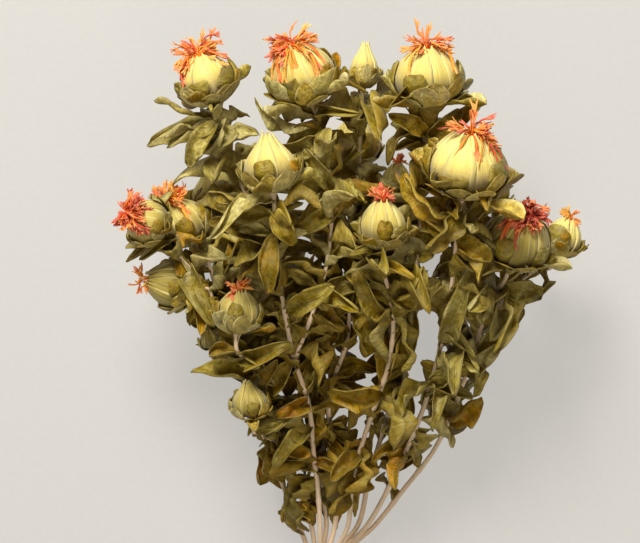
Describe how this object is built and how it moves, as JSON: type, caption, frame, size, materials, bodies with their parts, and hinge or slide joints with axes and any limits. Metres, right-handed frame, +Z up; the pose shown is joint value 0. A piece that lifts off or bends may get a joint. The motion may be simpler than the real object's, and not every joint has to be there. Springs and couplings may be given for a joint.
{
  "type": "dried safflower bunch",
  "caption": "Bunch of dried safflower lying on its back: leafy forked stems with round thistle-like heads and orange floret tufts, gathered by a twine tie.",
  "frame": {"origin": "middle of the bounding box in plan, on the table under the bunch", "axes": "+Z up from the table, +Y along the bunch from the cut stem ends to the flower heads"},
  "size_m": [0.2166, 0.4148, 0.1362],
  "materials": {
    "dried_leaf": "matt dry leaf and straw",
    "head_bract": "matt papery bracts",
    "floret": "matt dry petals",
    "twine": "rough jute"
  },
  "bodies": {
    "root": {"leafy_stem_1": "dried_leaf", "leafy_stem_2": "dried_leaf", "leafy_stem_3": "dried_leaf", "leafy_stem_4": "dried_leaf", "leafy_stem_5": "dried_leaf", "leafy_stem_6": "dried_leaf", "leafy_stem_7": "dried_leaf", "leafy_stem_8": "dried_leaf", "leafy_stem_9": "dried_leaf", "head_01": "head_bract", "head_02": "head_bract", "head_03": "head_bract", "head_04": "head_bract", "head_05": "head_bract", "head_06": "head_bract", "head_07": "head_bract", "head_08": "head_bract", "head_09": "head_bract", "head_10": "head_bract", "head_11": "head_bract", "head_12": "head_bract", "head_13": "head_bract", "head_14": "head_bract", "head_15": "head_bract", "head_16": "head_bract", "head_17": "head_bract", "head_18": "head_bract", "head_19": "head_bract", "head_20": "head_bract", "florets_01": "floret", "florets_02": "floret", "florets_04": "floret", "florets_06": "floret", "florets_07": "floret", "florets_08": "floret", "florets_09": "floret", "florets_10": "floret", "florets_13": "floret", "florets_14": "floret", "florets_15": "floret", "florets_16": "floret", "florets_17": "floret", "florets_19": "floret", "florets_20": "floret", "twine_tie": "twine"}
  },
  "joints": []
}
